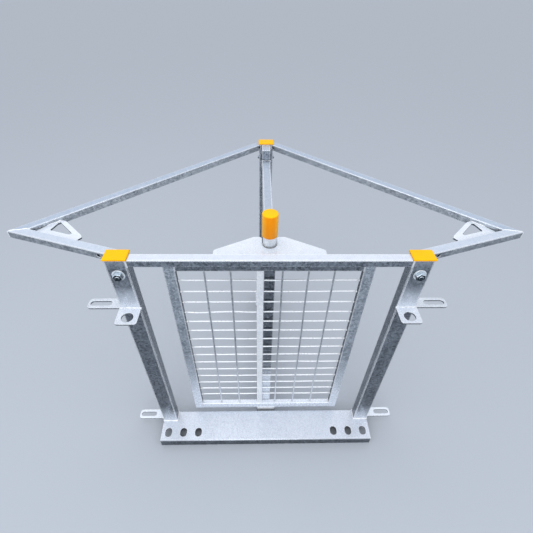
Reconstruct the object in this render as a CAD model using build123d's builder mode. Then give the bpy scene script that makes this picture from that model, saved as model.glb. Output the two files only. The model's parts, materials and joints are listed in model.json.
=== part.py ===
import os

from build123d import *

os.makedirs("parts", exist_ok=True)

# Front frame: two posts, the rail between their tops and the folded base plate
frame_width = 915.0
post_width = 60.0
post_depth = 40.0
post_wall = 3.0
post_corner = 2.5
post_top = 992.0
rail_depth = 30.0
rail_height = 25.0
rail_wall = 2.5
rail_corner = 2.0
base_height = 40.0
base_reach = 90.0
base_tail = 4.0
base_thickness = 5.0
base_bend = 7.0

# Oval pin holes in the base plate, counted inward from the posts
base_slot_length = 38.0
base_slot_width = 29.0
base_slot_setback = 53.0
base_slot_first = 30.0
base_slot_pitch = 65.0
base_slot_count = 3

# Yellow caps
cap_lip = 3.0
cap_height = 6.0
cap_bevel = 2.0

# Overhead kite behind the posts
kite_half = 784.0
kite_tip_depth = 135.0
wing_foot_depth = 27.3
apex_setback = 775.0
apex_rail_end = 34.0
vent_radius = 6.0
wing_vent_setback = 27.0
long_vent_setback = 9.0
gusset_leg = 156.0
gusset_thickness = 6.0
gusset_drop = 12.0
gusset_round = 5.0
gusset_outline_shares = [
    (0.1, 0.0), (1.0, 0.0), (0.95, 0.2), (0.86, 0.26), (0.1, 0.6), (0.0, 0.61), (0.0, 0.3), (0.05, 0.1)
]
gusset_hole_shares = [(0.22, 0.19), (0.026, 0.54), (0.795, 0.19)]

# Slotted lugs that take the race panels
lug_thickness = 6.0
side_lug_reach = 105.0
side_lug_round = 12.0
side_lug_slot_length = 66.0
side_lug_slot_width = 19.0
side_lug_slot_centre = 65.0
upper_lug_top = 800.0
lower_lug_top = 65.0
front_lug_reach = 64.0
front_lug_width = 66.0
front_lug_round = 9.0
front_lug_hole = 36.0
front_lug_hole_centre = 38.0

# Bolts through the posts
bolt_drop = 53.0
bolt_shank = 12.0
bolt_flats_round = 11.0
bolt_head = 8.0
washer_round = 16.0
washer_thickness = 3.0
bolt_hole_ease = 1.0
apex_bolt_drop = 66.0
apex_bolt_share = 0.5
hex_sides = 6
shank_sides = 8
washer_sides = 16

# Swinging gate: square arm tubes and a flatter panel frame across the front
gate_tube = 35.0
gate_wall = 2.5
gate_corner = 2.0
gate_drop = 52.0
gate_bottom = 55.0
panel_width = 640.0
panel_depth = 20.0
panel_wall = 2.0
panel_corner = 1.5
panel_gap = 11.0
wire = 5.5
wire_setback = 11.0
wire_side_gap = 85.0
wire_top_gap = 50.0
wire_foot_gap = 65.0
wires_across = 6
wires_up = 15
arm_wires_along = 5
centre_bar_width = 22.0
centre_bar_thickness = 8.0
centre_bar_gap = 1.0

# Bracing plate and upright handle over the joint of arm and panel
brace_half = 172.0
brace_side = 52.0
brace_hump = 118.0
brace_hump_half = 50.0
brace_thickness = 6.0
brace_round = 10.0
brace_notch = 24.0
handle_setback = 83.0
handle_radius = 21.0
handle_wall = 3.0
handle_length = 115.0
grip_radius = 24.5
grip_length = 80.0
grip_crown = 5.0
grip_bevel = 4.0

# Skid under the panel, hinge pins and the foot plate below the apex post
skid_width = 80.0
skid_wall = 3.0
skid_corner = 3.0
skid_clearance = 8.0
hinge_offset = 30.0
hinge_gap = 8.0
hinge_head_drop = 2.0
hinge_head_nose = 10.0
pin_radius = 10.0
pin_length = 40.0
pin_clearance = 0.1
bush_height = 30.0
collar_radius = 15.0
collar_gap = 0.5
foot_thickness = 8.0
foot_width = 100.0
foot_front = 35.0
foot_tail = 15.0
foot_corner = 8.0

# Depth stations, the object standing over the middle of its own plan
overall_depth = base_reach + apex_setback + post_depth + foot_tail
front_y = base_reach - overall_depth / 2
post_rear_y = front_y + post_depth
apex_y = front_y + apex_setback
hinge_y = apex_y - hinge_offset
panel_y = post_rear_y + panel_gap
panel_rear_y = panel_y + panel_depth
arm_front_y = panel_rear_y + gate_tube
arm_rear_y = hinge_y - gate_tube / 2
handle_y = panel_y + handle_setback
mesh_y = panel_y + wire_setback

# Width and height stations
post_outer_x = frame_width / 2
post_inner_x = post_outer_x - post_width
post_x = post_outer_x - post_width / 2
rail_bottom = post_top - rail_height
stile_x = panel_width / 2 - gate_tube / 2
panel_inner_x = panel_width / 2 - gate_tube
gate_top = post_top - gate_drop
gate_height = gate_top - gate_bottom
infill_bottom = gate_bottom + gate_tube
infill_top = gate_top - gate_tube
infill_height = infill_top - infill_bottom
first_wire = infill_top - wire_top_gap
wire_pitch_z = (infill_height - wire_top_gap - wire_foot_gap) / (wires_up - 1)
wire_pitch_x = (2 * panel_inner_x - 2 * wire_side_gap) / (wires_across - 1)

AHEAD = Vector(0, 1, 0)
ACROSS = Vector(1, 0, 0)
UP = Vector(0, 0, 1)

sides = (("left", -1), ("right", 1))


def across_plane(x, y, z):
    return Plane((x, y, z), x_dir=AHEAD, z_dir=ACROSS)


def back_plane(x, y, z):
    return Plane((x, y, z), x_dir=ACROSS, z_dir=AHEAD)


def box_tube(plane, wide, deep, wall, corner, length):
    with BuildSketch(plane) as section:
        Rectangle(wide, deep)
        chamfer(section.vertices(), corner)
        Rectangle(wide - 2 * wall, deep - 2 * wall, mode=Mode.SUBTRACT)
    extrude(section.sketch, amount=length)


def round_bar(plane, radius, length, mode=Mode.ADD):
    with BuildSketch(plane) as section:
        Circle(radius)
    extrude(section.sketch, amount=length, mode=mode)


def slab(plane, wide, deep, length, corner=0, mode=Mode.ADD):
    with BuildSketch(plane) as section:
        Rectangle(wide, deep)
        if corner:
            chamfer(section.vertices(), corner)
    extrude(section.sketch, amount=length, mode=mode)


def flat_outline(points, z, height, mode=Mode.ADD, corner=0):
    with BuildSketch(Plane((0, 0, z))) as section:
        with BuildLine():
            Polyline(*points, close=True)
        make_face()
        if corner:
            fillet(section.vertices(), corner)
    extrude(section.sketch, amount=height, mode=mode)


def hex_bolt(plane, length, share=1):
    with BuildSketch(plane) as section:
        RegularPolygon(share * bolt_shank / 2, shank_sides)
    extrude(section.sketch, amount=length)
    with BuildSketch(plane) as section:
        RegularPolygon(share * washer_round, washer_sides)
    extrude(section.sketch, amount=-share * washer_thickness)
    with BuildSketch(plane.offset(-share * washer_thickness)) as section:
        RegularPolygon(share * bolt_flats_round, hex_sides, major_radius=False)
    extrude(section.sketch, amount=-share * bolt_head)


def crossing(a, along_a, b, along_b):
    cross = along_a.X * along_b.Y - along_a.Y * along_b.X
    gap = b - a
    reach = (gap.X * along_b.Y - gap.Y * along_b.X) / cross
    return a + along_a * reach


def plan_point(p):
    return (p.X, p.Y)


def kite_lines(s):
    tip = Vector(s * kite_half, front_y + kite_tip_depth)
    foot = Vector(s * post_outer_x, front_y + wing_foot_depth)
    crest = Vector(s * post_width / 2, apex_y + apex_rail_end)
    wing = (foot - tip).normalized()
    long = (crest - tip).normalized()
    wing_in = Vector(s * wing.Y, -s * wing.X)
    long_in = Vector(-s * long.Y, s * long.X)
    return tip, foot, crest, wing, long, wing_in, long_in


def kite_throat(s, inset):
    tip, foot, crest, wing, long, wing_in, long_in = kite_lines(s)
    return crossing(tip + wing_in * inset, wing, tip + long_in * inset, long)


def mitred_rail(tip, along, inward, throat, length, post_centre):
    middle = tip + inward * (rail_depth / 2) - along * rail_depth
    start = Plane((middle.X, middle.Y, rail_bottom + rail_height / 2), x_dir=inward, z_dir=along)
    box_tube(start, rail_depth, rail_height, rail_wall, rail_corner, length + rail_depth)
    seam = throat - tip
    normal = Vector(-seam.Y, seam.X)
    if normal.dot(along) < 0:
        normal = -normal
    split(bisect_by=Plane((tip.X, tip.Y, rail_bottom), z_dir=normal), keep=Keep.TOP)
    slab(Plane((post_centre.X, post_centre.Y, rail_bottom)), post_width, post_depth, rail_height, post_corner,
         Mode.SUBTRACT)


def vent(at, inward):
    round_bar(Plane((at.X, at.Y, rail_bottom + rail_height / 2), z_dir=inward), vent_radius, rail_wall,
              Mode.SUBTRACT)


# Base plate
with BuildPart() as base_plate:
    base_y = front_y - base_reach
    with BuildSketch(across_plane(-frame_width / 2, base_y, 0)) as fold:
        with BuildLine():
            depth = base_reach + post_depth + base_tail
            inner = base_height - base_thickness
            Polyline(
                (0, 0),
                (0, base_height),
                (depth, base_height),
                (depth, 0),
                (depth - base_thickness, 0),
                (depth - base_thickness, inner),
                (base_thickness, inner),
                (base_thickness, 0),
                close=True,
            )
        make_face()
        bends = fold.vertices().filter_by(lambda v: v.Y > inner / 2)
        fillet(bends.group_by(Axis.Y)[-1], base_bend)
        fillet(bends.group_by(Axis.Y)[0], base_bend - base_thickness)
    extrude(fold.sketch, amount=frame_width)
    for side, s in sides:
        for k in range(base_slot_count):
            slot_x = s * (post_outer_x - base_slot_first - k * base_slot_pitch)
            with BuildSketch(Plane((slot_x, front_y - base_slot_setback, inner))) as hole:
                SlotOverall(base_slot_length, base_slot_width, rotation=90)
            extrude(hole.sketch, amount=base_thickness, mode=Mode.SUBTRACT)
base_plate.part.label = "base_plate"
export_step(base_plate.part, "parts/base_plate.step")

# Front posts with their caps, bolts and lugs
for side, s in sides:
    with BuildPart() as post:
        box_tube(Plane((s * post_x, front_y + post_depth / 2, base_height)), post_width, post_depth,
                 post_wall, post_corner, post_top - base_height)
        bolt_seat = back_plane(s * post_x, front_y, post_top - bolt_drop)
        round_bar(bolt_seat, bolt_shank / 2 + bolt_hole_ease, post_wall, Mode.SUBTRACT)
    post.part.label = f"{side}_post"
    export_step(post.part, f"parts/{side}_post.step")

    with BuildPart() as cap:
        slab(Plane((s * post_x, front_y + post_depth / 2, post_top)), post_width + 2 * cap_lip,
             post_depth + 2 * cap_lip, cap_height)
        chamfer(cap.faces().sort_by(Axis.Z)[-1].edges(), cap_bevel)
    cap.part.label = f"{side}_post_cap"
    export_step(cap.part, f"parts/{side}_post_cap.step")

    with BuildPart() as bolt:
        hex_bolt(bolt_seat, post_depth / 2)
    bolt.part.label = f"{side}_post_bolt"
    export_step(bolt.part, f"parts/{side}_post_bolt.step")

    for level, lug_top in (("upper", upper_lug_top), ("lower", lower_lug_top)):
        lug_z = lug_top - lug_thickness
        lug_y = front_y + post_depth / 2
        with BuildPart() as lug:
            with BuildSketch(Plane((s * (post_outer_x + side_lug_reach / 2), lug_y, lug_z))) as blank:
                Rectangle(side_lug_reach, post_depth)
                ends = blank.vertices().sort_by(Axis.X)
                fillet(ends[-2:] if s > 0 else ends[:2], side_lug_round)
            extrude(blank.sketch, amount=lug_thickness)
            with BuildSketch(Plane((s * (post_outer_x + side_lug_slot_centre), lug_y, lug_z))) as hole:
                SlotOverall(side_lug_slot_length, side_lug_slot_width)
            extrude(hole.sketch, amount=lug_thickness, mode=Mode.SUBTRACT)
        lug.part.label = f"{side}_{level}_side_lug"
        export_step(lug.part, f"parts/{side}_{level}_side_lug.step")

    with BuildPart() as front_lug:
        lug_z = upper_lug_top - lug_thickness
        with BuildSketch(Plane((s * post_x, front_y - front_lug_reach / 2, lug_z))) as blank:
            Rectangle(front_lug_width, front_lug_reach)
            fillet(blank.vertices().sort_by(Axis.Y)[:2], front_lug_round)
        extrude(blank.sketch, amount=lug_thickness)
        round_bar(Plane((s * post_x, front_y - front_lug_hole_centre, lug_z)), front_lug_hole / 2,
                  lug_thickness, Mode.SUBTRACT)
    front_lug.part.label = f"{side}_front_lug"
    export_step(front_lug.part, f"parts/{side}_front_lug.step")

# Rail between the post tops
with BuildPart() as top_rail:
    box_tube(across_plane(-post_inner_x, front_y + rail_depth / 2, rail_bottom + rail_height / 2),
             rail_depth, rail_height, rail_wall, rail_corner, 2 * post_inner_x)
top_rail.part.label = "top_rail"
export_step(top_rail.part, "parts/top_rail.step")

# Kite rails and corner gussets
for side, s in sides:
    tip, foot, crest, wing, long, wing_in, long_in = kite_lines(s)
    throat = kite_throat(s, rail_depth)

    with BuildPart() as wing_rail:
        heel = crossing(throat, wing, Vector(0, post_rear_y), ACROSS)
        reach = max((foot - tip).dot(wing), (heel - tip).dot(wing))
        mitred_rail(tip, wing, wing_in, throat, reach, Vector(s * post_x, front_y + post_depth / 2))
        vent(foot - wing * wing_vent_setback, wing_in)
    wing_rail.part.label = f"{side}_wing_rail"
    export_step(wing_rail.part, f"parts/{side}_wing_rail.step")

    with BuildPart() as long_rail:
        heel = crossing(throat, long, Vector(0, apex_y), ACROSS)
        reach = max((crest - tip).dot(long), (heel - tip).dot(long))
        mitred_rail(tip, long, long_in, throat, reach, Vector(0, apex_y + post_depth / 2))
        vent(heel - long * long_vent_setback, -long_in)
    long_rail.part.label = f"{side}_long_rail"
    export_step(long_rail.part, f"parts/{side}_long_rail.step")

    with BuildPart() as gusset:
        gusset_z = post_top - gusset_drop - gusset_thickness
        rim = [throat + wing * (a * gusset_leg) + long * (b * gusset_leg) for a, b in gusset_outline_shares]
        eye = [throat + wing * (a * gusset_leg) + long * (b * gusset_leg) for a, b in gusset_hole_shares]
        flat_outline([plan_point(p) for p in rim], gusset_z, gusset_thickness)
        flat_outline([plan_point(p) for p in eye], gusset_z, gusset_thickness, Mode.SUBTRACT, gusset_round)
    gusset.part.label = f"{side}_corner_gusset"
    export_step(gusset.part, f"parts/{side}_corner_gusset.step")

# Apex post on its foot plate, with cap, cross bolt and the fixed half of the hinge
with BuildPart() as hinge_foot:
    foot_depth = hinge_offset + foot_front + post_depth + foot_tail
    slab(Plane((0, hinge_y - foot_front + foot_depth / 2, 0)), foot_width, foot_depth, foot_thickness,
         foot_corner)
hinge_foot.part.label = "hinge_foot"
export_step(hinge_foot.part, "parts/hinge_foot.step")

with BuildPart() as apex_post:
    box_tube(Plane((0, apex_y + post_depth / 2, foot_thickness)), post_width, post_depth, post_wall,
             post_corner, post_top - foot_thickness)
    round_bar(across_plane(-post_width / 2, apex_y + post_depth / 2, post_top - apex_bolt_drop),
              apex_bolt_share * bolt_shank / 2 + bolt_hole_ease, post_width, Mode.SUBTRACT)
apex_post.part.label = "apex_post"
export_step(apex_post.part, "parts/apex_post.step")

with BuildPart() as apex_cap:
    slab(Plane((0, apex_y + post_depth / 2, post_top)), post_width + 2 * cap_lip,
         post_depth + 2 * cap_lip, cap_height)
    chamfer(apex_cap.faces().sort_by(Axis.Z)[-1].edges(), cap_bevel)
apex_cap.part.label = "apex_post_cap"
export_step(apex_cap.part, "parts/apex_post_cap.step")

with BuildPart() as apex_bolt:
    bolt_z = post_top - apex_bolt_drop
    left_seat = across_plane(-post_width / 2, apex_y + post_depth / 2, bolt_z)
    right_seat = across_plane(post_width / 2, apex_y + post_depth / 2, bolt_z).rotated((0, 180, 0))
    hex_bolt(left_seat, post_width, apex_bolt_share)
    hex_bolt(right_seat, post_width / 2, apex_bolt_share)
apex_bolt.part.label = "apex_bolt"
export_step(apex_bolt.part, "parts/apex_bolt.step")

with BuildPart() as hinge_head:
    head_bottom = gate_top + hinge_gap
    head_depth = hinge_offset + gate_tube / 2 + hinge_head_nose
    slab(Plane((0, apex_y - head_depth / 2, head_bottom)), gate_tube, head_depth,
         post_top - hinge_head_drop - head_bottom, gate_corner)
hinge_head.part.label = "hinge_head"
export_step(hinge_head.part, "parts/hinge_head.step")

with BuildPart() as upper_pin:
    round_bar(Plane((0, hinge_y, head_bottom - hinge_gap - pin_length)), pin_radius, pin_length + hinge_gap)
upper_pin.part.label = "upper_hinge_pin"
export_step(upper_pin.part, "parts/upper_hinge_pin.step")

with BuildPart() as lower_pin:
    round_bar(Plane((0, hinge_y, foot_thickness)), pin_radius, gate_bottom + pin_length - foot_thickness)
    with BuildSketch(Plane((0, hinge_y, foot_thickness))) as collar:
        RegularPolygon(collar_radius, washer_sides)
    extrude(collar.sketch, amount=gate_bottom - collar_gap - foot_thickness)
lower_pin.part.label = "lower_hinge_pin"
export_step(lower_pin.part, "parts/lower_hinge_pin.step")

# Arm of the gate
with BuildPart() as hinge_stile:
    box_tube(Plane((0, hinge_y, gate_bottom)), gate_tube, gate_tube, gate_wall, gate_corner, gate_height)
hinge_stile.part.label = "gate_hinge_stile"
export_step(hinge_stile.part, "parts/gate_hinge_stile.step")

for level, bush_z in (("upper", gate_top - bush_height), ("lower", gate_bottom)):
    with BuildPart() as bush:
        slab(Plane((0, hinge_y, bush_z)), gate_tube - 2 * gate_wall, gate_tube - 2 * gate_wall, bush_height)
        round_bar(Plane((0, hinge_y, bush_z)), pin_radius + pin_clearance, bush_height, Mode.SUBTRACT)
    bush.part.label = f"{level}_hinge_bush"
    export_step(bush.part, f"parts/{level}_hinge_bush.step")

with BuildPart() as front_stile:
    box_tube(Plane((0, panel_rear_y + gate_tube / 2, gate_bottom)), gate_tube, gate_tube, gate_wall,
             gate_corner, gate_height)
front_stile.part.label = "gate_front_stile"
export_step(front_stile.part, "parts/gate_front_stile.step")

for level, bar_z in (("top", gate_top - gate_tube / 2), ("bottom", gate_bottom + gate_tube / 2)):
    with BuildPart() as bar:
        box_tube(back_plane(0, arm_front_y, bar_z), gate_tube, gate_tube, gate_wall, gate_corner,
                 arm_rear_y - arm_front_y)
    bar.part.label = f"gate_{level}_bar"
    export_step(bar.part, f"parts/gate_{level}_bar.step")

with BuildPart() as arm_mesh:
    arm_length = arm_rear_y - arm_front_y
    arm_pitch = arm_length / (arm_wires_along + 1)
    with BuildSketch(across_plane(-wire / 2, arm_front_y, infill_bottom)) as lattice:
        for k in range(arm_wires_along):
            with Locations(((k + 1) * arm_pitch, infill_height / 2)):
                Rectangle(wire, infill_height)
        for k in range(wires_up):
            with Locations((arm_length / 2, first_wire - k * wire_pitch_z - infill_bottom)):
                Rectangle(arm_length, wire)
    extrude(lattice.sketch, amount=wire)
arm_mesh.part.label = "arm_mesh"
export_step(arm_mesh.part, "parts/arm_mesh.step")

# Panel across the front of the arm
for side, s in sides:
    with BuildPart() as stile:
        box_tube(Plane((s * stile_x, panel_y + panel_depth / 2, gate_bottom)), gate_tube, panel_depth,
                 panel_wall, panel_corner, gate_height)
    stile.part.label = f"panel_{side}_stile"
    export_step(stile.part, f"parts/panel_{side}_stile.step")

for level, rail_z in (("top", gate_top - gate_tube / 2), ("bottom", gate_bottom + gate_tube / 2)):
    with BuildPart() as rail:
        box_tube(across_plane(-panel_inner_x, panel_y + panel_depth / 2, rail_z), panel_depth, gate_tube,
                 panel_wall, panel_corner, 2 * panel_inner_x)
    rail.part.label = f"panel_{level}_rail"
    export_step(rail.part, f"parts/panel_{level}_rail.step")

with BuildPart() as panel_mesh:
    with BuildSketch(back_plane(0, mesh_y, 0)) as lattice:
        for k in range(wires_across):
            with Locations(((k - (wires_across - 1) / 2) * wire_pitch_x, -(infill_bottom + infill_top) / 2)):
                Rectangle(wire, infill_height)
        for k in range(wires_up):
            with Locations((0, k * wire_pitch_z - first_wire)):
                Rectangle(2 * panel_inner_x, wire)
    extrude(lattice.sketch, amount=wire)
panel_mesh.part.label = "panel_mesh"
export_step(panel_mesh.part, "parts/panel_mesh.step")

with BuildPart() as centre_bar:
    bar_x = -(gate_tube + centre_bar_width) / 2 - centre_bar_gap
    slab(Plane((bar_x, mesh_y - centre_bar_thickness / 2, infill_bottom)), centre_bar_width,
         centre_bar_thickness, infill_height)
centre_bar.part.label = "panel_centre_bar"
export_step(centre_bar.part, "parts/panel_centre_bar.step")

with BuildPart() as skid:
    box_tube(Plane((0, panel_y + gate_tube / 2, skid_clearance)), skid_width, gate_tube, skid_wall,
             skid_corner, gate_bottom - skid_clearance)
skid.part.label = "gate_skid"
export_step(skid.part, "parts/gate_skid.step")

# Bracing plate, handle tube and grip
with BuildPart() as brace:
    with BuildSketch(Plane((0, panel_y, gate_top))) as blank:
        with BuildLine():
            Polyline(
                (-brace_half, 0),
                (brace_half, 0),
                (brace_half, brace_side),
                (brace_hump_half, brace_hump),
                (-brace_hump_half, brace_hump),
                (-brace_half, brace_side),
                close=True,
            )
        make_face()
        with Locations((0, (handle_setback + brace_hump) / 2)):
            Rectangle(2 * brace_notch, brace_hump - handle_setback, mode=Mode.SUBTRACT)
        with Locations((0, handle_setback)):
            Circle(brace_notch, mode=Mode.SUBTRACT)
        fillet(blank.vertices().filter_by(lambda v: v.Y > brace_side / 2 and abs(v.X) > brace_hump_half),
               brace_round)
        fillet(blank.vertices().group_by(Axis.Y)[-1], brace_round)
    extrude(blank.sketch, amount=brace_thickness)
brace.part.label = "brace_plate"
export_step(brace.part, "parts/brace_plate.step")

with BuildPart() as handle_tube:
    round_bar(Plane((0, handle_y, gate_top)), handle_radius, handle_length)
    round_bar(Plane((0, handle_y, gate_top)), handle_radius - handle_wall, handle_length, Mode.SUBTRACT)
handle_tube.part.label = "handle_tube"
export_step(handle_tube.part, "parts/handle_tube.step")

with BuildPart() as grip:
    grip_z = gate_top + handle_length + grip_crown - grip_length
    round_bar(Plane((0, handle_y, grip_z)), grip_radius, grip_length)
    round_bar(Plane((0, handle_y, grip_z)), handle_radius, grip_length - grip_crown, Mode.SUBTRACT)
    chamfer(grip.faces().sort_by(Axis.Z)[-1].edges(), grip_bevel)
grip.part.label = "handle_grip"
export_step(grip.part, "parts/handle_grip.step")
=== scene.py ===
import json
import math
import random
from collections import namedtuple

import bmesh
import bpy
from mathutils import Matrix, Vector, noise

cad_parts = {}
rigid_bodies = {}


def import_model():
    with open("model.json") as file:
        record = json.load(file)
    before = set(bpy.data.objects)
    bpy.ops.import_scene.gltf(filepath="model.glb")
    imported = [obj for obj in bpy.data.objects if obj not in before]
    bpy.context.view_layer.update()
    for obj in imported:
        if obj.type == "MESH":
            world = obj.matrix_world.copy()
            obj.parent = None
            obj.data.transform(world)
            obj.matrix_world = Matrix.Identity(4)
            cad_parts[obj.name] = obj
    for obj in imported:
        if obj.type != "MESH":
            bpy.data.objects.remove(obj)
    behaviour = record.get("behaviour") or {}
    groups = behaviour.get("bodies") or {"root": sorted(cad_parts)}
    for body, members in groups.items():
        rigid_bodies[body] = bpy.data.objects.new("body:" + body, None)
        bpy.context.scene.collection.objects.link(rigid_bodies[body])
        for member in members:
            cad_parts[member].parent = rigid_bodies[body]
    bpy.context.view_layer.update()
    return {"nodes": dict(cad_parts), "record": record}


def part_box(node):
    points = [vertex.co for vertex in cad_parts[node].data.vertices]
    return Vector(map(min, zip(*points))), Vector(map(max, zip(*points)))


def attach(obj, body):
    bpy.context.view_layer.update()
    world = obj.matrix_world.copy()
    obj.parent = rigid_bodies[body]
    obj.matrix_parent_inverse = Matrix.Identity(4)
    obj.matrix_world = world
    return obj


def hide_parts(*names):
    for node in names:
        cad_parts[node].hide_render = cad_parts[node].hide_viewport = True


for leftover in list(bpy.data.objects):
    bpy.data.objects.remove(leftover)
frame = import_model()
nodes = frame["nodes"]
scene = bpy.context.scene

MM = 0.001
ACROSS = Vector((1, 0, 0))
BACK = Vector((0, 1, 0))
UP = Vector((0, 0, 1))
AXES = (ACROSS, BACK, UP)
X, Y, Z = range(3)
SIDES = (("left", -1), ("right", 1))
SQUARE = ((-1, -1), (1, -1), (1, 1), (-1, 1))
SEED = 7
rng = random.Random(SEED)
# without a seed the noise vectors start from the clock
noise.seed_set(SEED)

# Sockets of a Mix node that blends two colours
SHARE, BELOW, ABOVE, MIXED = 0, 6, 7, 2


def linear(hex_colour):
    """sRGB hex to the linear colour that a socket takes."""
    parts = [int(hex_colour[i:i + 2], 16) / 255 for i in (1, 3, 5)]
    flat = [c / 12.92 if c <= 0.04045 else ((c + 0.055) / 1.055) ** 2.4 for c in parts]
    return (*flat, 1.0)


def add(tree, kind, links=(), **settings):
    """Adds a node. Settings are its properties, links are (socket, value or output) pairs."""
    made = tree.nodes.new(kind)
    for name, value in settings.items():
        setattr(made, name, value)
    for socket, value in links:
        if isinstance(value, bpy.types.NodeSocket):
            tree.links.new(value, made.inputs[socket])
        else:
            made.inputs[socket].default_value = value
    return made


def per_metre(millimetres):
    """Pattern scale that gives cells of this real size."""
    return 1.0 / (millimetres * MM)


# Hot-dip galvanised steel: sizes and tones of what shows in the frozen coating, and the reach and tone of its
# painted corner shade and edge highlight
CLOUD_MM = 50
RUN_MM = 10
RUN_HEIGHT_SHARE = 0.12
SPECK_MM = 4
RELIEF_MM = 0.4
# reach of the painted shade in the corners of joints
CORNER_SHADE_REACH_MM = 8
# tone of the painted highlight along edges
EDGE_HIGHLIGHT = "#f1f5fa"
# how far a face turns sideways before its painted side tone begins
FLANK_FROM = 0.8


def zinc_grain(tree, place, spangle_mm):
    """Grey of the frozen coating: crystals, clouds that cooled slower, runs down the steel and ash specks."""
    crystals = add(tree, "ShaderNodeTexVoronoi", [("Vector", place), ("Scale", per_metre(spangle_mm))])
    crystal_grey = add(tree, "ShaderNodeSeparateColor", [(0, crystals.outputs["Color"])]).outputs[0]
    clouds = add(tree, "ShaderNodeTexNoise", [("Vector", place), ("Scale", per_metre(CLOUD_MM)),
                                              ("Detail", 4.0), ("Roughness", 0.6)])
    # a run is about eight times as long as it is wide
    drawn = add(tree, "ShaderNodeMapping", [("Vector", place), ("Scale", (1.0, 1.0, RUN_HEIGHT_SHARE))])
    runs = add(tree, "ShaderNodeTexNoise", [("Vector", drawn.outputs[0]), ("Scale", per_metre(RUN_MM)),
                                            ("Detail", 4.0), ("Roughness", 0.7)])
    # real ash specks are too fine to show, so they are drawn coarser
    specks = add(tree, "ShaderNodeTexNoise", [("Vector", place), ("Scale", per_metre(SPECK_MM)),
                                              ("Detail", 5.0), ("Roughness", 0.75)])
    mottle = add(tree, "ShaderNodeMath", [(0, crystal_grey), (1, 0.8), (2, clouds.outputs["Fac"])],
                 operation="MULTIPLY_ADD")
    streaks = add(tree, "ShaderNodeMath", [(0, specks.outputs["Fac"]), (1, 1.6), (2, runs.outputs["Fac"])],
                  operation="MULTIPLY_ADD")
    return add(tree, "ShaderNodeMath", [(0, mottle.outputs[0]), (1, streaks.outputs[0])],
               operation="ADD").outputs[0]


def painted_reflection_by_height(tree, place, reflection_heights):
    """Share of painted reflection by height, pale where a face would mirror bright parts and the ground near
    it.
    """
    level = add(tree, "ShaderNodeSeparateXYZ", [(0, place)]).outputs["Z"]
    ramp = add(tree, "ShaderNodeValToRGB", [(0, level)])
    stops = ramp.color_ramp.elements
    stops.remove(stops[1])
    for k, (height, share) in enumerate(reflection_heights):
        # the ramp runs over one metre, so a stop stands at its height in metres
        stop = stops.new(height * MM) if k else stops[0]
        stop.position = height * MM
        stop.color = (share, share, share, 1.0)
    return ramp.outputs["Color"]


def painted_edge_highlight(tree, facing, openness, edge_mm):
    """Share of painted highlight along edges that turn up or sideways, where a rounded edge would catch the
    sky.
    """
    rounded = add(tree, "ShaderNodeBevel", [("Radius", edge_mm * MM)], samples=6).outputs[0]
    bend = add(tree, "ShaderNodeVectorMath", [(0, rounded), (1, facing)], operation="DOT_PRODUCT")
    # no painted highlight inside holes and joints
    highlight_outside_holes = add(tree, "ShaderNodeMapRange", [("Value", openness), ("From Min", 0.4), ("From Max", 0.6),
                                              ("To Max", 0.9)])
    lean = add(tree, "ShaderNodeSeparateXYZ", [(0, rounded)])
    lifted = add(tree, "ShaderNodeMapRange", [("Value", lean.outputs["Z"]), ("From Min", -0.25),
                                              ("From Max", -0.05), ("To Max", highlight_outside_holes.outputs[0])])
    return add(tree, "ShaderNodeMapRange", [("Value", bend.outputs["Value"]), ("From Min", 0.998),
                                            ("From Max", 0.94), ("To Max", lifted.outputs[0])]).outputs[0]


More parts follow.
